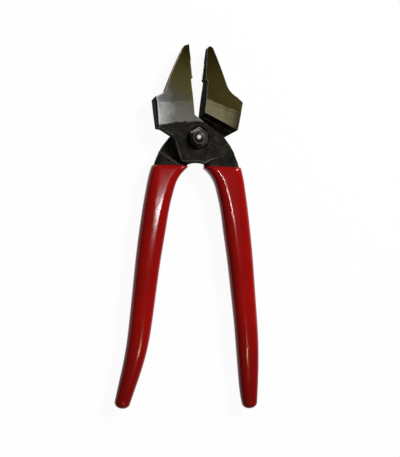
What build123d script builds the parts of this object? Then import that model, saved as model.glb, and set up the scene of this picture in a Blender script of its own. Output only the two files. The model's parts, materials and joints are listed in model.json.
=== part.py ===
from build123d import *
import os
from math import cos, radians, sin, sqrt, tan

# Grozing pliers, in millimetres. Two forged levers cross in a lap joint and turn on one bolt.
# Each lever is built in its own closed frame: jaw on +X with its gripping face on X = 0, handle
# on -X, pivot axis on Z, +Y towards the jaws, lap plate below the mid-plane Z = 0.
# The finished tool lies on its back: Z = 0 is then the back face, and +Z points to the nut.

# Joint
PLATE_THICKNESS = 6.0        # one lap plate; the closed joint is two plates thick
LAP_CLEARANCE = 0.10         # between the two sliding lap faces
REST_HALF_ANGLE = 5.7        # how far each lever stands open from the closed line
PIVOT_DROP = 0.9             # the pivot lies this far below the lever frame's origin

# Lap recess: straight steps on the jaw side and on the neck side, at these distances from the pivot
JAW_STEP_DISTANCE = 12.3
JAW_STEP_DIRECTION = 70.3    # degrees from +X to the step's normal
NECK_STEP_DISTANCE = 17.8
NECK_STEP_DIRECTION = 246.0
STEP_DRAFT = 15.0            # forging draft of the two step walls

# Jaw outline
TIP_Y = 52.9
TIP_DROP = 0.9               # the tip's outer corner stands this much lower
TIP_RADIUS = 1.4
REAR_TIP_CUT = (1.5, 1.8)    # corner ground off the rear jaw's tip: across and down its face
REAR_TIP_WIDTH = 3.2
FRONT_TIP_WIDTH = 3.2
# Outer edges, each ground by hand: middle of the flank, start, middle and end of the sweep to the
# shoulder, and the shoulder itself
REAR_FLANK = ((8.6, 41.7), (13.4, 31.4), (15.7, 28.2), (19.9, 25.5), (23.65, 22.9))
FRONT_FLANK = ((10.2, 39.6), (16.4, 26.8), (17.1, 26.0), (18.6, 25.3), (23.1, 23.5))
SHOULDER_RADIUS = 1.2
HEEL = (22.3, 6.5)
HEEL_RADIUS = 1.2
NOTCH = (14.3, 0.8)          # where the jaw's heel meets the lap plate
CROTCH_Y = 12.3              # foot of the jaw face, beside the lap plate

# Jaw faces and teeth
JAW_TIP_THICKNESS = 4.7
PLATE_SIDE_BEND_Y = 20.4     # the plate side starts to thin here, square to the jaw face
STEP_SIDE_BEND = ((3.5, 20.2), (22.4, 16.1))
FACE_RELIEF = 1.0            # the jaw face steps back below the teeth,
RELIEF_DRAFT = 1.2           # and this much more on the step side than on the plate side
RELIEF_TOP_Y = 33.4
GRIP_FACET = 0.8             # ground off the step side of the gripping face, at its lower end
GRIP_FACET_START = 0.8       # height over the mid-plane where that facet starts there
SIDE_BEVEL = (1.5, 0.5)      # along the jaw's side, on its plate side: at the shoulder, at the heel
TOOTH_PITCH = 1.35
TOOTH_DEPTH = 0.5
TEETH_BOTTOM_Y = 33.9
TEETH_TOP_Y = 43.4
FACE_CLEARANCE = 0.04        # each gripping face, from the closed line

# Lap plate outline
PLATE_SIDE = (13.4, -2.8)
PLATE_CORNER = (11.0, -13.9)
PLATE_CORNER_RADIUS = 2.0
NOTCH_RADIUS = 1.5
RIM_BEVEL = 0.6              # from the shoulder round to the plate's foot, on the plate side
PLATE_FOOT = ((3.0, -14.1), (0.2, -14.5), (-2.4, -15.6))
NECK_WEB = ((-5.5, -13.6), (-20.3, -11.4))
NECK_SIDE = ((-18.2, -6.8), (-16.5, -4.0), (-14.8, -1.3))
PLATE_FLANK = ((-14.1, -1.8), (-10.0, 2.1), (-4.6, 7.2), (-0.9, 10.6))

# Handles, over the outside of the dipped coating, from its highest station down
GRIP_TOP_Y = -16.5
REAR_GRIP_LENGTH = 137.0
FRONT_GRIP_LENGTH = 138.5
REAR_GRIP_WIDTH = 14.5
FRONT_GRIP_WIDTH = 15.3
GRIP_THICKNESS = 12.0
HANDLE_REACH = 19.1          # closed line to the middle of the handle, where it is straight
# Stations: share of the length, shift of the middle outwards, shares of the width and thickness
SHARED_STATIONS = (
    (0.000, -6.4, 1.45, 1.00),
    (0.022, -4.7, 1.31, 1.00),
    (0.047, -3.2, 1.19, 1.00),
    (0.076, -2.1, 1.115, 1.00),
    (0.113, -1.4, 1.075, 1.00),
    (0.171, -0.6, 1.04, 1.00),
    (0.258, 0.0, 1.03, 1.00),
    (0.389, 0.65, 0.985, 1.00),
    (0.534, 0.85, 0.93, 0.985),
)
FLARED_END = (
    (0.665, 0.95, 0.89, 0.95),
    (0.767, 1.45, 0.84, 0.915),
    (0.869, 3.1, 0.755, 0.85),
    (0.956, 5.1, 0.66, 0.75),
    (1.000, 6.1, 0.605, 0.68),
)
STRAIGHT_END = (
    (0.665, 0.95, 0.89, 0.95),
    (0.767, 0.7, 0.86, 0.915),
    (0.869, 0.05, 0.785, 0.85),
    (0.956, -0.6, 0.68, 0.75),
    (1.000, -0.7, 0.585, 0.68),
)
SLEEVE_WALL = 1.2            # dipped coating on the handle's edges
SLEEVE_FACE_WALL = 0.7       # it runs thinner on the flat faces
SLEEVE_END_WALL = 3.4
MOUTH_ROUNDNESS = 0.36       # corner radius as a share of the smaller side, at the mouth
GRIP_ROUNDNESS = 0.47        # and where the hand holds it
ROUND_FROM = 0.25            # share of the length from which the section is fully round
MOUTH_Y = -18.2              # sleeve mouth on the handle's middle line
MOUTH_TILT = 6.0             # the mouth's outer side is the lower one, in degrees
MOUTH_X = -14.4
MOUTH_LIP_RADIUS = 0.5

# Neck: stations of (Y, outer X, inner X, thickness, corner radius) over the bare steel
NECK_STATIONS = (
    (-8.5, -19.0, -9.5, 12.0, 0.6),
    (-12.5, -20.6, -4.5, 12.0, 1.0),
)

# Pivot hardware
SHOULDER_DIAMETER = 8.0      # bolt's plain bearing length
BEARING_CLEARANCE = 0.05     # radial, in both levers
THREAD_DIAMETER = 6.0
HEAD_DIAMETER = 13.0
HEAD_DEPTH = 2.5
HEAD_CLEARANCE = 0.05
NECK_SQUARE = 8.6            # square under the head that keeps the bolt from turning
SQUARE_START = 0.3           # height above the back where the square leaves the cone
NECK_SQUARE_END = 5.4
BOLT_END_HEIGHT = 0.9        # thread end over the nut, and how much of that is its dome
BOLT_DOME_HEIGHT = 0.7
SPOT_FACE_DIAMETER = 13.0    # seat of the washer, sunk in the front plate
SPOT_FACE_DEPTH = 1.5
WASHER_DIAMETER = 12.0
WASHER_THICKNESS = 1.0
WASHER_HOLE = 6.4
WASHER_BEVEL = 0.2
WASHER_LIFT = 0.05           # washer's clearance over its seat
NUT_ACROSS_FLATS = 10.0
NUT_HEX_HEIGHT = 3.0
NUT_HEIGHT = 4.6
NUT_BEVEL_DIAMETER = 9.6     # flat ring left by the bevel on both ends of the hexagon
NUT_COLLAR_DIAMETER = 8.6
NUT_COLLAR_ROUND = 0.6
NUT_TURN = 30.0              # degrees; two corners then point along Y
INSERT_DIAMETER = 7.2
INSERT_HEIGHT = 1.2
INSERT_SINK = 0.2            # below the collar's rim
PLAY = 0.02                  # radial, around the thread and the insert

# Heights above the back face
SHOULDER_TOP = 2 * PLATE_THICKNESS - SPOT_FACE_DEPTH + WASHER_LIFT
WASHER_TOP = SHOULDER_TOP + WASHER_THICKNESS
NUT_TOP = WASHER_TOP + NUT_HEIGHT


def rounded_section(y, x_outer, x_inner, thickness, radius):
    """Rounded rectangle in the plane of constant Y."""
    width = x_inner - x_outer
    plane = Plane(origin=((x_outer + x_inner) / 2, y, 0), x_dir=(1, 0, 0), z_dir=(0, -1, 0))
    return plane * RectangleRounded(width, thickness, radius)


def handle_section(station, length, width, edge_wall=0.0, face_wall=0.0):
    """Section of a handle of that length and width, inset from its outside by the two walls."""
    share, shift, width_share, thickness_share = station
    middle = -(HANDLE_REACH + shift)
    half_width = width * width_share / 2
    thickness = GRIP_THICKNESS * thickness_share
    blend = min(share / ROUND_FROM, 1)
    roundness = MOUTH_ROUNDNESS + (GRIP_ROUNDNESS - MOUTH_ROUNDNESS) * blend
    radius = roundness * min(2 * half_width, thickness)
    return rounded_section(
        GRIP_TOP_Y - share * length, middle - half_width + edge_wall, middle + half_width - edge_wall,
        thickness - 2 * face_wall, radius - edge_wall,
    )


def outline(tip_width, flank):
    """Plan of the jaw, the lap plate and the top of the neck."""
    flank_middle, sweep_start, sweep_middle, sweep_end, shoulder = flank
    tip = (tip_width, TIP_Y - TIP_DROP)
    ground_edge = ThreePointArc(tip, flank_middle, sweep_start)
    sweep = ThreePointArc(sweep_start, sweep_middle, sweep_end)
    rest = Polyline(
        sweep_end,
        shoulder,
        HEEL,
        NOTCH,
        PLATE_SIDE,
        PLATE_CORNER,
        *PLATE_FOOT,
        *NECK_WEB,
        *NECK_SIDE,
        *PLATE_FLANK,
        (FACE_RELIEF, CROTCH_Y),
        (FACE_RELIEF, RELIEF_TOP_Y - FACE_RELIEF),
        (FACE_CLEARANCE, RELIEF_TOP_Y),
        (FACE_CLEARANCE, TIP_Y),
        tip,
    )
    return make_face([*ground_edge.edges(), *sweep.edges(), *rest.edges()])


def upright_edge(solid, x, y):
    """The vertical edge that stands nearest to a point of the plan."""
    upright = solid.edges().filter_by(Axis.Z)
    return min(upright, key=lambda e: (e.center().X - x) ** 2 + (e.center().Y - y) ** 2)


def ground_off(start, end, side):
    """Block beyond the plane of three points, which run anticlockwise as seen from its side."""
    along = (Vector(*end) - Vector(*start)).normalized()
    outward = along.cross(Vector(*side) - Vector(*start)).normalized()
    plane = Plane(origin=start, x_dir=along, z_dir=outward)
    reach = 4 * TIP_Y
    return plane * Box(reach, reach, 2 * PLATE_THICKNESS, align=(Align.CENTER, Align.CENTER, Align.MIN))


def thinned(jaw):
    """Jaw with both flat sides ground thinner, from their bend lines to the tip."""
    half_tip = JAW_TIP_THICKNESS / 2
    low, high = -PLATE_THICKNESS, PLATE_THICKNESS
    jaw -= ground_off((HEEL[0], PLATE_SIDE_BEND_Y, low), (0, PLATE_SIDE_BEND_Y, low), (0, TIP_Y, -half_tip))
    inner, outer = STEP_SIDE_BEND
    return jaw - ground_off((*inner, high), (*outer, high), (0, TIP_Y, half_tip))


def faceted(jaw, shoulder):
    """Jaw with its drafted relief, the facet beside the teeth and the bevel along its side."""
    low, high = -PLATE_THICKNESS, PLATE_THICKNESS
    draft = make_face(Polyline(
        (0, low), (FACE_RELIEF, low), (FACE_RELIEF + RELIEF_DRAFT, high), (0, high), close=True,
    ).edges())
    length = RELIEF_TOP_Y - FACE_RELIEF - CROTCH_Y
    jaw -= Pos(0, CROTCH_Y, 0) * extrude(Plane.XZ * draft, amount=-length)
    half_tip = JAW_TIP_THICKNESS / 2
    facet = ground_off(
        (FACE_CLEARANCE, RELIEF_TOP_Y, GRIP_FACET_START), (GRIP_FACET, RELIEF_TOP_Y, high - FACE_RELIEF),
        (FACE_CLEARANCE, TIP_Y, half_tip),
    )
    beside_teeth = Box(TIP_Y, TIP_Y, TIP_Y, align=(Align.CENTER, Align.MIN, Align.CENTER))
    jaw -= facet & (Pos(0, RELIEF_TOP_Y - FACE_RELIEF, 0) * beside_teeth)
    wide, narrow = SIDE_BEVEL
    return jaw - ground_off(
        (HEEL[0] - narrow, HEEL[1], low), (shoulder[0] - wide, shoulder[1], low),
        (shoulder[0], shoulder[1], low + wide),
    )


def lap_recess():
    """Space of the other lever's plate, between the jaw step and the neck step."""
    corners = []
    for distance, direction in (
        (JAW_STEP_DISTANCE, JAW_STEP_DIRECTION),
        (NECK_STEP_DISTANCE, NECK_STEP_DIRECTION),
    ):
        normal = Vector(cos(radians(direction)), sin(radians(direction)))
        tangent = Vector(-normal.Y, normal.X)
        foot = normal * distance
        corners += [foot - tangent * TIP_Y, foot + tangent * TIP_Y]
    plan = Plane.XY.offset(-LAP_CLEARANCE / 2) * make_face(Polyline(*corners, close=True).edges())
    return extrude(plan, amount=PLATE_THICKNESS + 2, taper=-STEP_DRAFT)


def cut_teeth(jaw):
    """Filed vee grooves across the gripping face."""
    count = int((TEETH_TOP_Y - TEETH_BOTTOM_Y) / TOOTH_PITCH)
    land = 0.1 * TOOTH_PITCH
    root = FACE_CLEARANCE + TOOTH_DEPTH
    outside = FACE_CLEARANCE - TOOTH_DEPTH
    for index in range(count):
        low = TEETH_BOTTOM_Y + index * TOOTH_PITCH
        high = low + TOOTH_PITCH - land
        groove = make_face(Polyline(
            (outside, low), (FACE_CLEARANCE, low), (root, (low + high) / 2),
            (FACE_CLEARANCE, high), (outside, high), close=True,
        ).edges())
        jaw -= extrude(groove, amount=PLATE_THICKNESS, both=True)
    return jaw


def forged_lever(tip_width, flank, end_stations, length, width, tip_cut=None):
    """One lever in its own closed frame, without its pivot hole."""
    shoulder = flank[-1]
    blank = extrude(outline(tip_width, flank), amount=PLATE_THICKNESS, both=True)
    blank = fillet(upright_edge(blank, *PLATE_CORNER), PLATE_CORNER_RADIUS)
    rim = []
    for edge in blank.faces().sort_by(Axis.Z)[0].edges():
        middle = edge.center()
        on_foot = middle.Y < PLATE_SIDE[1] and middle.X > PLATE_FOOT[-1][0]
        on_jaw_side = middle.Y < shoulder[1] and middle.X > PLATE_SIDE[0]
        if on_foot or on_jaw_side:
            rim.append(edge)
    blank = chamfer(rim, RIM_BEVEL)
    for x, y, radius in (
        (*shoulder, SHOULDER_RADIUS),
        (*HEEL, HEEL_RADIUS),
        (*NOTCH, NOTCH_RADIUS),
        (tip_width, TIP_Y - TIP_DROP, TIP_RADIUS),
    ):
        blank = fillet(upright_edge(blank, x, y), radius)
    if tip_cut:
        across, down = tip_cut
        corner = make_face(Polyline(
            (0, TIP_Y - down), (0, TIP_Y + down), (2 * across, TIP_Y + down), close=True,
        ).edges())
        blank -= extrude(corner, amount=PLATE_THICKNESS, both=True)
    blank = cut_teeth(faceted(thinned(blank), shoulder))
    stations = SHARED_STATIONS + end_stations
    tang = [
        handle_section(station, length, width, SLEEVE_WALL, SLEEVE_FACE_WALL) for station in stations
    ]
    neck = [rounded_section(*station) for station in NECK_STATIONS] + tang[:1]
    handle = loft(neck) + loft(tang)
    slab = Box(4 * TIP_Y, 8 * TIP_Y, 2 * PLATE_THICKNESS)
    return ((blank + handle) & slab) - lap_recess()


def rounded_end(station, length, width):
    """Closed end of the coating: sections that shrink along an ellipse."""
    last = handle_section(station, length, width)
    sections = []
    for share in (0, 0.4, 0.7, 0.88, 0.97):
        sections.append(Pos(0, -share * SLEEVE_END_WALL, 0) * scale(last, by=sqrt(1 - share ** 2)))
    return loft(sections)


def sleeve(end_stations, length, width, steel):
    """Dipped coating over the tang: closed at the end, open at a slanted mouth."""
    coat = loft([handle_section(station, length, width) for station in SHARED_STATIONS + end_stations])
    coat += rounded_end(end_stations[-1], length, width)
    mouth = Plane(
        origin=(MOUTH_X, MOUTH_Y, 0), x_dir=(0, 0, 1),
        z_dir=(-sin(radians(MOUTH_TILT)), cos(radians(MOUTH_TILT)), 0),
    )
    reach = 4 * width
    coat -= mouth * Box(reach, reach, reach, align=(Align.CENTER, Align.CENTER, Align.MIN))
    lip = coat.faces().sort_by(Axis.Y)[-1]
    coat = fillet(lip.edges(), MOUTH_LIP_RADIUS)
    return coat - steel


def front_pose(shape):
    """Turns a lever-frame shape over about Y and opens it: jaw to -X, lap plate in front."""
    turned = Rot(0, 180, 0) * (Pos(0, PIVOT_DROP, 0) * shape)
    return Pos(0, 0, PLATE_THICKNESS) * (Rot(0, 0, REST_HALF_ANGLE) * turned)


def rear_pose(shape):
    """Opens a lever-frame shape the other way: jaw to +X, lap plate at the back."""
    return Pos(0, 0, PLATE_THICKNESS) * (Rot(0, 0, -REST_HALF_ANGLE) * (Pos(0, PIVOT_DROP, 0) * shape))


def head_and_square(extra):
    """Countersunk head with a square under it, which keeps the bolt from turning."""
    radius = HEAD_DIAMETER / 2 + extra
    cone = Cone(radius, radius - HEAD_DEPTH, HEAD_DEPTH, align=(Align.CENTER, Align.CENTER, Align.MIN))
    side = NECK_SQUARE + 2 * extra
    depth = NECK_SQUARE_END - SQUARE_START
    square = Box(side, side, depth, align=(Align.CENTER, Align.CENTER, Align.MIN))
    return cone + Pos(0, 0, SQUARE_START) * square


def pivot_bolt():
    """Flat countersunk head, square neck, plain bearing shoulder, thread with a domed end."""
    dome_top = NUT_TOP + BOLT_END_HEIGHT
    dome_foot = dome_top - BOLT_DOME_HEIGHT
    half_thread = THREAD_DIAMETER / 2
    half_shoulder = SHOULDER_DIAMETER / 2
    dome_radius = (half_thread ** 2 + (dome_top - dome_foot) ** 2) / (2 * (dome_top - dome_foot))
    mid = half_thread / 2
    mid_height = dome_top - dome_radius + sqrt(dome_radius ** 2 - mid ** 2)
    side = Polyline((0, dome_top), (0, HEAD_DEPTH / 2), (half_shoulder, HEAD_DEPTH / 2),
                    (half_shoulder, SHOULDER_TOP), (half_thread, SHOULDER_TOP),
                    (half_thread, dome_foot))
    dome = ThreePointArc((half_thread, dome_foot), (mid, mid_height), (0, dome_top))
    shank = revolve(Plane.XZ * make_face([*side.edges(), *dome.edges()]), Axis.Z)
    return head_and_square(0) + shank


def washer():
    ring = Cylinder(WASHER_DIAMETER / 2, WASHER_THICKNESS) - Cylinder(WASHER_HOLE / 2, WASHER_THICKNESS)
    rim = ring.edges().filter_by(GeomType.CIRCLE).sort_by(SortBy.RADIUS)[-2:]
    ring = chamfer(rim, WASHER_BEVEL)
    return Pos(0, 0, SHOULDER_TOP + WASHER_THICKNESS / 2) * ring


def lock_nut():
    """Hexagon nut with a round collar that is crimped over a plastic ring."""
    bevel_radius = NUT_BEVEL_DIAMETER / 2
    corner_radius = NUT_ACROSS_FLATS / sqrt(3)
    drop = (corner_radius - bevel_radius) * tan(radians(30))
    on_base = (Align.CENTER, Align.CENTER, Align.MIN)
    turned = make_face(Polyline(
        (0, 0), (bevel_radius, 0), (corner_radius, drop), (corner_radius, NUT_HEX_HEIGHT - drop),
        (bevel_radius, NUT_HEX_HEIGHT), (0, NUT_HEX_HEIGHT), close=True,
    ).edges())
    hexagon = extrude(RegularPolygon(corner_radius, 6, rotation=NUT_TURN), amount=NUT_HEX_HEIGHT)
    hexagon &= revolve(Plane.XZ * turned, Axis.Z)
    collar = Cylinder(NUT_COLLAR_DIAMETER / 2, NUT_HEIGHT, align=on_base)
    collar = fillet(collar.edges().sort_by(Axis.Z)[-1], NUT_COLLAR_ROUND)
    nut = hexagon + collar
    nut -= Cylinder(THREAD_DIAMETER / 2 + PLAY, NUT_HEIGHT, align=on_base)
    pocket_depth = INSERT_HEIGHT + INSERT_SINK
    nut -= Pos(0, 0, NUT_HEIGHT - pocket_depth) * Cylinder(INSERT_DIAMETER / 2, pocket_depth, align=on_base)
    return Pos(0, 0, WASHER_TOP) * nut


def nut_insert():
    """Plastic locking ring, a little below the collar's rim."""
    ring = Cylinder(INSERT_DIAMETER / 2 - PLAY, INSERT_HEIGHT)
    ring -= Cylinder(THREAD_DIAMETER / 2 + PLAY, INSERT_HEIGHT)
    return Pos(0, 0, NUT_TOP - INSERT_SINK - INSERT_HEIGHT / 2) * ring


rear_handle = (FLARED_END, REAR_GRIP_LENGTH, REAR_GRIP_WIDTH)
front_handle = (STRAIGHT_END, FRONT_GRIP_LENGTH, FRONT_GRIP_WIDTH)
rear_steel = forged_lever(REAR_TIP_WIDTH, REAR_FLANK, *rear_handle, REAR_TIP_CUT)
front_steel = forged_lever(FRONT_TIP_WIDTH, FRONT_FLANK, *front_handle)
rear_grip = sleeve(*rear_handle, rear_steel)
front_grip = sleeve(*front_handle, front_steel)

bore = Cylinder(SHOULDER_DIAMETER / 2 + BEARING_CLEARANCE, 6 * PLATE_THICKNESS)
spot_face = Cylinder(SPOT_FACE_DIAMETER / 2, 2 * SPOT_FACE_DEPTH)
parts = {
    "rear_lever": rear_pose(rear_steel) - bore - head_and_square(HEAD_CLEARANCE),
    "front_lever": front_pose(front_steel) - bore - Pos(0, 0, 2 * PLATE_THICKNESS) * spot_face,
    "left_grip": rear_pose(rear_grip),
    "right_grip": front_pose(front_grip),
    "pivot_bolt": pivot_bolt(),
    "washer": washer(),
    "lock_nut": lock_nut(),
    "nut_insert": nut_insert(),
}

os.makedirs("parts", exist_ok=True)
for name, shape in parts.items():
    export_step(shape, f"parts/{name}.step")
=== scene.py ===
import json
from math import cos, radians, sin

import bpy
from mathutils import Matrix, Vector


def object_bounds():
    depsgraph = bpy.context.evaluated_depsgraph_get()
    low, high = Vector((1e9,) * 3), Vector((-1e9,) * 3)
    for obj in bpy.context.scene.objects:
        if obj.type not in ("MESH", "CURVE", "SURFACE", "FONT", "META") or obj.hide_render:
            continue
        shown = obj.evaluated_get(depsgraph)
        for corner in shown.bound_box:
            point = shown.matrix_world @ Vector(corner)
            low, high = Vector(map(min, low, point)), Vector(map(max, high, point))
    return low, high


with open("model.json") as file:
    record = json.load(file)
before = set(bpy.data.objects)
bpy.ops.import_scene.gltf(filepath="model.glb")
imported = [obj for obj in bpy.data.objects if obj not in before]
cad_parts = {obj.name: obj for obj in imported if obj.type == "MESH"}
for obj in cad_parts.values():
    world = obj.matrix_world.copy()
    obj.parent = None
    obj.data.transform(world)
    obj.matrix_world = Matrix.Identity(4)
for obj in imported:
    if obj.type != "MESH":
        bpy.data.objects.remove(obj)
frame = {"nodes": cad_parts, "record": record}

cad_low, cad_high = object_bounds()
MM = 0.001
nodes = frame["nodes"]
bpy.ops.object.select_all(action="DESELECT")


# Levers: two identical drop forgings of carbon steel, one turned over, crossed in a lap joint on
# the pivot bolt. They keep their black forging scale, apart from the flat sides of the jaws, which
# are ground bright and then lacquered; the lacquer has browned towards the tips.
def linear(colour):
    """An sRGB hex colour as a linear RGBA tuple."""
    channels = [int(colour[i:i + 2], 16) / 255 for i in (0, 2, 4)]
    return (*[c / 12.92 if c <= 0.04045 else ((c + 0.055) / 1.055) ** 2.4 for c in channels], 1.0)


def cleared(owner):
    """The new material or world with its nodes switched on and none in it yet."""
    owner.use_nodes = True
    owner.node_tree.nodes.clear()
    return owner


def add(owner, kind, inputs=None, stops=(), **settings):
    """A new node. Its settings are properties, and its inputs are values, sockets or other nodes,
    which give their first output. Stops are a colour ramp's positions and hex colours."""
    node = owner.node_tree.nodes.new("ShaderNode" + kind)
    for name, value in settings.items():
        setattr(node, name, value)
    for name, value in (inputs or {}).items():
        if isinstance(value, bpy.types.Node):
            value = next(output for output in value.outputs if output.enabled)
        if isinstance(value, bpy.types.NodeSocket):
            owner.node_tree.links.new(value, node.inputs[name])
        else:
            node.inputs[name].default_value = value
    if stops:
        elements = node.color_ramp.elements
        while len(elements) < len(stops):
            elements.new(1.0)
        for element, (position, colour) in zip(elements, stops):
            element.position = position
            element.color = linear(colour)
    return node


def edge_mask(look, radius, low, high):
    """0 on flats, 1 on outer and inner edges, from how far a rounded normal leaves the true one."""
    rounded = add(look, "Bevel", {"Radius": radius}, samples=6)
    closeness = add(look, "VectorMath", {
        0: rounded, 1: add(look, "NewGeometry").outputs["Normal"],
    }, operation="DOT_PRODUCT")
    return add(look, "MapRange", {"Value": closeness, "From Min": 1 - low, "From Max": 1 - high})


LAP_PLANE = 6 * MM             # the two lap faces meet at this height over the back
PIVOT_DROP = 0.9 * MM          # the pivot's axis lies this far below the lever frame's origin
JAW_ROOT = 8.8 * MM            # the ground part of a jaw starts here, over the pivot
JAW_TIP = 52.9 * MM
RAGGED_LINE = 2.6 * MM         # how much the lower end of the grinding wanders
GRINDING_MIDDLE = 8 * MM       # it drops away to both sides of this place across the jaw,
GRINDING_BOW = 4.0             # by this times the square of the distance, in metres,
STEP_SIDE_REACH = 5 * MM       # and starts this much lower on the side that stands over the lap
OUTER_PART = (12 * MM, 23 * MM)    # how far out the painted light reaches across the jaw: from here on, and fully
WASHER_SEAT = 7.5 * MM         # edges inside this radius, under and round the washer, stay black
closing_angle = frame["record"]["behaviour"]["joints"][0]["range_deg"][0]
rest_half_angle = radians(-closing_angle / 2)


def ground_part(steel, own, x, y, z):
    """1 on the jaw's flat sides, which were ground down to a bowed line over the pivot. The line is
    ragged, in steps of about 2 mm."""
    ragged = add(steel, "TexNoise", {"Vector": own, "Scale": 420.0, "Detail": 4.0})
    line = add(steel, "Math", {
        0: ragged, 1: RAGGED_LINE, 2: -RAGGED_LINE / 2 - JAW_ROOT,
    }, operation="MULTIPLY_ADD")
    over_line = add(steel, "Math", {0: y, 1: line})
    from_middle = add(steel, "Math", {0: x, 1: GRINDING_MIDDLE}, operation="SUBTRACT")
    squared = add(steel, "Math", {0: from_middle, 1: from_middle}, operation="MULTIPLY")
    over_bow = add(steel, "Math", {
        0: squared, 1: GRINDING_BOW, 2: over_line,
    }, operation="MULTIPLY_ADD")
    on_step_side = add(steel, "MapRange", {
        "Value": z, "From Max": 1 * MM, "To Max": STEP_SIDE_REACH,
    })
    reach = add(steel, "Math", {0: over_bow, 1: on_step_side})
    high_enough = add(steel, "MapRange", {
        "Value": reach, "From Min": -0.5 * MM, "From Max": 0.7 * MM,
    })

    normal = add(steel, "SeparateXYZ", {"Vector": add(steel, "NewGeometry").outputs["Normal"]})
    upright = add(steel, "Math", {0: normal.outputs["Z"]}, operation="ABSOLUTE")
    flat = add(steel, "MapRange", {"Value": upright, "From Min": 0.80, "From Max": 0.92})
    depth = add(steel, "Math", {0: z}, operation="ABSOLUTE")
    off_lap = add(steel, "MapRange", {"Value": depth, "From Min": 0.8 * MM, "From Max": 1.4 * MM})
    flat_side = add(steel, "Math", {0: high_enough, 1: flat}, operation="MULTIPLY")
    return add(steel, "Math", {0: flat_side, 1: off_lap}, operation="MULTIPLY")


def rubbed_and_highlit_edges(steel, place, x, y, blotches, exposure):
    """1 where a corner of the forging is lightened, in patches, partly as rubbed steel and partly as a
    painted highlight: everywhere but under and round the washer, and much less along the lap."""
    share = edge_mask(steel, 0.55 * MM, 0.03, 0.20)
    lap_side = add(steel, "MapRange", {
        "Value": x, "From Min": -4 * MM, "From Max": 0.0, "To Min": 1.0, "To Max": 0.0,
    })
    over_foot = add(steel, "MapRange", {"Value": y, "From Min": -14 * MM, "From Max": -10 * MM})
    sheltered = add(steel, "Math", {0: lap_side, 1: over_foot}, operation="MULTIPLY")
    exposed = add(steel, "MapRange", {
        "Value": sheltered, "To Min": exposure, "To Max": 0.15 * exposure,
    })
    over_pivot = add(steel, "Mapping", {"Vector": place, "Scale": (1.0, 1.0, 0.0)})
    radius = add(steel, "VectorMath", {0: over_pivot}, operation="LENGTH")
    off_seat = add(steel, "MapRange", {
        "Value": radius, "From Min": WASHER_SEAT, "From Max": WASHER_SEAT + 1 * MM,
    })
    patches = add(steel, "MapRange", {
        "Value": blotches, "From Min": 0.35, "From Max": 0.58, "To Min": 0.35,
    })
    for limit in (exposed, off_seat, patches):
        share = add(steel, "Math", {0: share, 1: limit}, operation="MULTIPLY")
    return share


def scale_colour(steel, blotches, grain, height, x):
    """Black forging scale, dull and speckled; the jaw's outer side has only been rubbed brown."""
    dark = add(steel, "ValToRGB", {"Fac": blotches}, (
        (0.30, "0e0d0b"), (0.52, "1a1814"), (0.75, "322f27"),
    ))
    specks = add(steel, "MapRange", {
        "Value": grain, "From Min": 0.55, "From Max": 0.72, "To Max": 0.7,
    })
    speckled = add(steel, "Mix", {
        "Factor": specks, "A": dark, "B": linear("4e4a40"),
    }, data_type="RGBA")
    over_shoulder = add(steel, "MapRange", {"Value": height, "From Min": 0.36, "From Max": 0.46})
    outer = add(steel, "MapRange", {"Value": x, "From Min": 1.5 * MM, "From Max": 2.5 * MM})
    brown_side = add(steel, "Math", {0: over_shoulder, 1: outer}, operation="MULTIPLY")
    return add(steel, "Mix", {
        "Factor": brown_side, "A": speckled, "B": linear("8a6f24"),
    }, data_type="RGBA")


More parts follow.
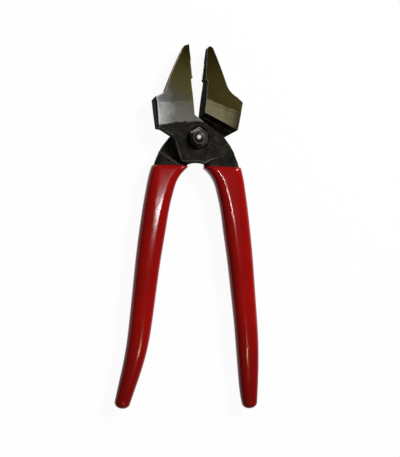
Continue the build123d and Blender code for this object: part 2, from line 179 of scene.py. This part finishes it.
def lever_steel(name, side, slant, start, fade, cloudiness, exposure, rim_highlight, colours):
    """Scaled and ground steel in the lever's own frame, where the jaw points to +Y with its gripping
    face at x = 0. Side is -1 for the lever that is turned over. The ground steel browns from the
    height start on, within fade; slant tips that line and cloudiness makes it uneven."""
    ground, painted_outer_colour, browned, middle, tip = colours
    steel = cleared(bpy.data.materials.new(name))
    place = add(steel, "TexCoord").outputs["Object"]
    own = add(steel, "Mapping", {
        "Vector": place, "Location": (0, -PIVOT_DROP, -side * LAP_PLANE),
        "Rotation": (0, 0, rest_half_angle), "Scale": (side, 1, side),
    })
    own_axes = add(steel, "SeparateXYZ", {"Vector": own})
    x, y, z = (own_axes.outputs[axis] for axis in "XYZ")
    height = add(steel, "MapRange", {"Value": y, "From Min": JAW_ROOT, "From Max": JAW_TIP})

    # the scale has blotches of 4 to 6 mm, and a grain that is drawn at 0.5 mm to show
    blotches = add(steel, "TexNoise", {"Vector": own, "Scale": 190.0, "Detail": 5.0, "Roughness": 0.62})
    grain = add(steel, "TexNoise", {"Vector": own, "Scale": 1900.0, "Detail": 4.0, "Roughness": 0.6})
    scaled = scale_colour(steel, blotches, grain, height, x)

    # the lacquer browns towards the tip, in clouds of about 6 mm
    clouds = add(steel, "TexNoise", {"Vector": own, "Scale": 160.0, "Detail": 2.0, "Roughness": 0.45})
    drift = add(steel, "Math", {0: clouds, 1: 0.5}, operation="SUBTRACT")
    slanted = add(steel, "Math", {0: x, 1: slant, 2: height}, operation="MULTIPLY_ADD")
    browning = add(steel, "Math", {0: drift, 1: cloudiness, 2: slanted}, operation="MULTIPLY_ADD")
    lacquered = add(steel, "ValToRGB", {"Fac": browning}, (
        (start, ground), (start + fade, browned), (0.62, middle), (0.95, tip),
    ))

    # low down and far out, the jaw takes painted light: a painted highlight, lighter towards the outer
    # edge, on the front lever, and a darker colour on the rear one
    sideways = add(steel, "Math", {0: drift, 1: 10 * MM, 2: x}, operation="MULTIPLY_ADD")
    far_out = add(steel, "MapRange", {
        "Value": sideways, "From Min": OUTER_PART[0], "From Max": OUTER_PART[1],
    })
    low_down = add(steel, "MapRange", {
        "Value": browning, "From Min": 0.10, "From Max": 0.70, "To Min": 1.0, "To Max": 0.0,
    })
    painted_light_corner = add(steel, "Math", {0: far_out, 1: low_down}, operation="MULTIPLY")
    shaded = add(steel, "Mix", {
        "Factor": painted_light_corner, "A": lacquered, "B": linear(painted_outer_colour),
    }, data_type="RGBA")

    # grinding lines run across the jaw, broken by wear; they are drawn 1 mm apart to show
    across = add(steel, "Mapping", {"Vector": own, "Scale": (350.0, 900.0, 350.0)})
    lines = add(steel, "TexNoise", {"Vector": across, "Scale": 1.0, "Detail": 3.0})
    lined = add(steel, "Mix", {
        "Factor": 0.30, "A": shaded, "B": lines,
    }, data_type="RGBA", blend_type="OVERLAY")

    # near-white along the corners, partly rubbed steel and partly painted highlight, and a painted
    # highlight as a white rim round the ground face's outer corner
    is_ground = ground_part(steel, own, x, y, z)
    corners = rubbed_and_highlit_edges(steel, place, x, y, blotches, exposure)
    painted_rim = edge_mask(steel, 1.5 * MM, 0.004, 0.05)
    for limit in (is_ground, painted_light_corner, rim_highlight):
        painted_rim = add(steel, "Math", {0: painted_rim, 1: limit}, operation="MULTIPLY")
    lightened = add(steel, "Math", {0: corners, 1: painted_rim}, operation="MAXIMUM")

    unrubbed = add(steel, "Mix", {"Factor": is_ground, "A": scaled, "B": lined}, data_type="RGBA")
    colour = add(steel, "Mix", {
        "Factor": lightened, "A": unrubbed, "B": linear("e2dfd6"),
    }, data_type="RGBA")

    # ground faces mirror a little and are truly flat; the scale is dull and pitted
    metallic = add(steel, "Math", {0: is_ground, 1: lightened}, operation="SUBTRACT", use_clamp=True)
    roughness = add(steel, "MapRange", {"Value": is_ground, "To Min": 0.75, "To Max": 0.24})
    relief = add(steel, "Mix", {"Factor": is_ground, "A": grain, "B": clouds})
    surface = add(steel, "NewGeometry")
    flattened = add(steel, "Mix", {
        "Factor": is_ground, "A": surface.outputs["Normal"], "B": surface.outputs["True Normal"],
    }, data_type="VECTOR")
    pitted = add(steel, "Bump", {
        "Height": relief, "Strength": 0.3, "Distance": 0.06 * MM, "Normal": flattened,
    })
    shader = add(steel, "BsdfPrincipled", {
        "Base Color": colour, "Metallic": metallic, "Roughness": roughness, "Normal": pitted,
        "Specular IOR Level": 0.04,
    })
    add(steel, "OutputMaterial", {"Surface": shader})
    return steel


# the second colour of each lever is the painted light on the ground jaw's low outer corner
nodes["front_lever"].material_slots[0].material = lever_steel(
    "forged_steel_front", side=-1, slant=-15.0, start=0.05, fade=0.28, cloudiness=0.16,
    exposure=1.0, rim_highlight=0.9, colours=("6e6d66", "bcbdbc", "6b6641", "5c552a", "2f290c"))
nodes["rear_lever"].material_slots[0].material = lever_steel(
    "forged_steel_rear", side=1, slant=6.0, start=0.262, fade=0.06, cloudiness=0.05,
    exposure=0.4, rim_highlight=0.0, colours=("888162", "2a2413", "332c15", "2e270f", "191404"))


# Grips: soft red vinyl, dipped hot over each tang in one piece, so the skin is glossy, slightly
# wavy and crowned across its width. It darkens where it is handled, towards the closed ends.
HANDLED_FROM = -105 * MM
HANDLED_MOST = -150 * MM


def dipped_vinyl(name):
    """Red vinyl with a wet gloss: thin bright streaks on a deep, even colour."""
    vinyl = cleared(bpy.data.materials.new(name))
    place = add(vinyl, "TexCoord").outputs["Object"]

    # the colour pools a little, over 15 to 20 mm
    pools = add(vinyl, "TexNoise", {"Vector": place, "Scale": 60.0, "Detail": 2.0})
    dipped = add(vinyl, "ValToRGB", {"Fac": pools}, ((0.3, "800503"), (0.7, "8c0704")))
    along = add(vinyl, "SeparateXYZ", {"Vector": place})
    handled = add(vinyl, "MapRange", {
        "Value": along.outputs["Y"], "From Min": HANDLED_FROM, "From Max": HANDLED_MOST,
    })
    colour = add(vinyl, "Mix", {
        "Factor": handled, "A": dipped, "B": linear("6c0503"),
    }, data_type="RGBA")

    # ripples of about 6 mm left by the dip, and dust that is drawn at 0.7 mm to show
    ripples = add(vinyl, "TexNoise", {"Vector": place, "Scale": 170.0, "Detail": 2.0})
    dust = add(vinyl, "TexNoise", {"Vector": place, "Scale": 1500.0, "Detail": 3.0})
    roughness = add(vinyl, "MapRange", {
        "Value": dust, "From Min": 0.4, "From Max": 0.75, "To Min": 0.10, "To Max": 0.15,
    })
    crown = add(vinyl, "Bevel", {"Radius": 3.0 * MM}, samples=32)
    rippled = add(vinyl, "Bump", {
        "Height": ripples, "Strength": 0.06, "Distance": 0.3 * MM, "Normal": crown,
    })
    shader = add(vinyl, "BsdfPrincipled", {
        "Base Color": colour, "Roughness": roughness, "Normal": rippled,
        "Specular IOR Level": 0.25,
    })
    add(vinyl, "OutputMaterial", {"Surface": shader})
    return vinyl


red_vinyl = dipped_vinyl("dipped_red_vinyl")
for grip in ("left_grip", "right_grip"):
    nodes[grip].material_slots[0].material = red_vinyl


# Pivot bolt: turned steel, put through both levers from the back, where its flat head is held from
# turning by a square. Its domed end stands a little out of the nut, with a painted highlight on it.
# a painted highlight on the bolt's dome: where it sits and how wide it is
HIGHLIGHT_SIDE = 0.9 * MM           # the painted highlight lies this far to the left of the axis
HIGHLIGHT_RADIUS = 1.5 * MM


def turned_steel(name):
    """Dark oily steel, stained every 3 mm or so, with a painted highlight as one bright spot on the
    dome.
    """
    steel = cleared(bpy.data.materials.new(name))
    place = add(steel, "TexCoord").outputs["Object"]
    stain = add(steel, "TexNoise", {"Vector": place, "Scale": 350.0, "Detail": 2.0})
    stained = add(steel, "ValToRGB", {"Fac": stain}, ((0.35, "24221d"), (0.65, "33312b")))
    from_highlight = add(steel, "Mapping", {
        "Vector": place, "Location": (HIGHLIGHT_SIDE, 0.0, 0.0), "Scale": (1.0, 1.0, 0.0),
    })
    distance = add(steel, "VectorMath", {0: from_highlight}, operation="LENGTH")
    lightened = add(steel, "MapRange", {
        "Value": distance, "From Min": 0.4 * HIGHLIGHT_RADIUS, "From Max": HIGHLIGHT_RADIUS,
        "To Min": 1.0, "To Max": 0.0,
    })
    colour = add(steel, "Mix", {
        "Factor": lightened, "A": stained, "B": linear("dfddd6"),
    }, data_type="RGBA")
    pitted = add(steel, "Bump", {"Height": stain, "Strength": 0.2, "Distance": 0.05 * MM})
    shader = add(steel, "BsdfPrincipled", {
        "Base Color": colour, "Normal": pitted, "Metallic": 1.0, "Roughness": 0.50,
    })
    add(steel, "OutputMaterial", {"Surface": shader})
    return steel


nodes["pivot_bolt"].material_slots[0].material = turned_steel("turned_bolt_steel")


# Washer and lock nut: pressed and turned steel, blackened in hot oil and screwed down over the
# front lever. One corner of the nut carries a painted highlight, the lighter edge colour in full.
HIGHLIT_CORNER = (-0.45, 0.89, 0.0)    # the direction of that corner from the pivot


def blackened_steel(name, colour, dark, edge_and_highlight_colour, corner_highlight):
    """Nearly black, dull steel, stained every 3 mm or so, with lighter metal along its edges and a
    painted highlight on one corner.
    """
    steel = cleared(bpy.data.materials.new(name))
    place = add(steel, "TexCoord").outputs["Object"]
    stain = add(steel, "TexNoise", {"Vector": place, "Scale": 350.0, "Detail": 2.0})
    stained = add(steel, "ValToRGB", {"Fac": stain}, ((0.35, dark), (0.65, colour)))
    edges = edge_mask(steel, 0.8 * MM, 0.01, 0.12)
    # a painted highlight: edges towards one corner, the upper left, take the lighter colour
    towards = add(steel, "VectorMath", {0: place, 1: HIGHLIT_CORNER}, operation="DOT_PRODUCT")
    highlit_corner = add(steel, "MapRange", {
        "Value": towards, "From Min": 3.2 * MM, "From Max": 4.8 * MM,
        "To Min": 0.12, "To Max": corner_highlight,
    })
    lightened = add(steel, "Math", {0: edges, 1: highlit_corner}, operation="MULTIPLY")
    shade = add(steel, "Mix", {
        "Factor": lightened, "A": stained, "B": linear(edge_and_highlight_colour),
    }, data_type="RGBA")
    pitted = add(steel, "Bump", {"Height": stain, "Strength": 0.2, "Distance": 0.05 * MM})
    shader = add(steel, "BsdfPrincipled", {
        "Base Color": shade, "Normal": pitted, "Roughness": 0.65, "Specular IOR Level": 0.02,
    })
    add(steel, "OutputMaterial", {"Surface": shader})
    return steel


nodes["washer"].material_slots[0].material = blackened_steel(
    "oil_blackened_washer_steel", "1b1915", "100f0c", edge_and_highlight_colour="3a382f", corner_highlight=0.2)
nodes["lock_nut"].material_slots[0].material = blackened_steel(
    "oil_blackened_nut_steel", "100e09", "090805", edge_and_highlight_colour="d6d3c6", corner_highlight=1.0)


# Nut insert: a plain ring of dark nylon, moulded and then pressed into the nut's collar, where it
# grips the thread and keeps the nut from working loose.
def moulded_nylon(name):
    """Dark grey plastic with a soft sheen and a faint haze, drawn at 1 mm to show."""
    nylon = cleared(bpy.data.materials.new(name))
    place = add(nylon, "TexCoord").outputs["Object"]
    haze = add(nylon, "TexNoise", {"Vector": place, "Scale": 900.0, "Detail": 2.0})
    hazy = add(nylon, "ValToRGB", {"Fac": haze}, ((0.3, "1c1b18"), (0.7, "2b2a25")))
    shader = add(nylon, "BsdfPrincipled", {"Base Color": hazy, "Roughness": 0.5})
    add(nylon, "OutputMaterial", {"Surface": shader})
    return nylon


nodes["nut_insert"].material_slots[0].material = moulded_nylon("dark_moulded_nylon")


# Floor: a plain white board that the tool lies on. The viewer sees it evenly white, and so does
# what the metal mirrors, with only part of the tool's shadow.
FLOOR_DROP = 0.2 * MM          # keeps the board just clear of the tool's back
EVEN_SHARE = 0.95

bpy.ops.mesh.primitive_plane_add(size=4.0, location=(0, 0, cad_low.z - FLOOR_DROP))
floor = bpy.context.object
floor.name = "floor"
board = cleared(bpy.data.materials.new("white_board"))
matt = add(board, "BsdfDiffuse", {"Color": (0.8, 0.8, 0.8, 1.0)})
glow = add(board, "Emission", {"Color": (1.0, 1.0, 1.0, 1.0), "Strength": 1.0})
rays = add(board, "LightPath")
seen = rays.outputs["Is Camera Ray"]
for ray in ("Is Glossy Ray", "Is Transmission Ray"):
    seen = add(board, "Math", {0: seen, 1: rays.outputs[ray]}, operation="MAXIMUM")
share = add(board, "Math", {0: seen, 1: EVEN_SHARE}, operation="MULTIPLY")
both = add(board, "MixShader", {"Fac": share, 1: matt, 2: glow})
add(board, "OutputMaterial", {"Surface": both})
floor.data.materials.append(board)


# Room: dim, even and a trace warm, so that the flat steel mirrors a grey room, while the viewer
# sees white behind the tool.
room = cleared(bpy.data.worlds.new("studio"))
bpy.context.scene.world = room
dim = add(room, "Background", {"Color": (1.0, 0.98, 0.95, 1.0), "Strength": 0.13})
white = add(room, "Background", {"Color": (1.0, 1.0, 1.0, 1.0), "Strength": 1.0})
viewed = add(room, "LightPath").outputs["Is Camera Ray"]
backdrop = add(room, "MixShader", {"Fac": viewed, 1: dim, 2: white})
add(room, "OutputWorld", {"Surface": backdrop})


# Lights: a large soft one, far off to the upper right, and three small weak lamps over the tool: one
# shows in the ground jaws, and two as thin streaks along the glossy grips.
WHITE_LIGHT = (1.0, 1.0, 1.0)
WARM_LIGHT = (1.0, 0.78, 0.45)
lit_point = Vector((0, -50, 0)) * MM


def soft_lamp(name, place, size, power, colour):
    """A round lamp of this diameter in metres and power in watts, aimed at the tool."""
    bpy.ops.object.light_add(type="AREA", location=place)
    lamp = bpy.context.object
    lamp.name = name
    lamp.data.shape = "DISK"
    lamp.data.size = size
    lamp.data.energy = power
    lamp.data.color = colour
    lamp.rotation_mode = "QUATERNION"
    lamp.rotation_quaternion = (lit_point - Vector(place)).to_track_quat("-Z", "Y")


soft_lamp("window", (0.75, 0.60, 0.90), 0.4, 21.0, WHITE_LIGHT)
soft_lamp("lamp_over_jaws", (0.03, 0.14, 0.75), 0.06, 0.05, WHITE_LIGHT)
soft_lamp("lamp_over_grips", (0.115, -0.03, 0.75), 0.03, 0.45, WHITE_LIGHT)
soft_lamp("lamp_over_ends", (0.14, -0.28, 0.75), 0.03, 0.30, WARM_LIGHT)


# Camera: over the tool, a little to its left, turned a trace against the tool's axis. The picture
# is taller than wide, so its height spans the sensor's width.
VIEW_TILT = radians(12)
ROLL = radians(0.8)
DISTANCE = 457 * MM
FOCAL_PER_HEIGHT = 1.748
aim_point = Vector((2.9, -51.1, 6.0)) * MM
back = Vector((-sin(VIEW_TILT), 0, cos(VIEW_TILT)))
right = Vector((0, 1, 0)).cross(back)
up = back.cross(right)
turned_right = right * cos(ROLL) + up * sin(ROLL)
turned_up = up * cos(ROLL) - right * sin(ROLL)
bpy.ops.object.camera_add(location=aim_point + back * DISTANCE)
camera = bpy.context.object
camera.rotation_mode = "QUATERNION"
camera.rotation_quaternion = Matrix((turned_right, turned_up, back)).transposed().to_quaternion()
camera.data.sensor_width = 36.0
camera.data.lens = camera.data.sensor_width * FOCAL_PER_HEIGHT
camera.data.clip_start = 0.01
camera.data.clip_end = 10.0
bpy.context.scene.camera = camera
bpy.context.scene.view_settings.view_transform = "Standard"
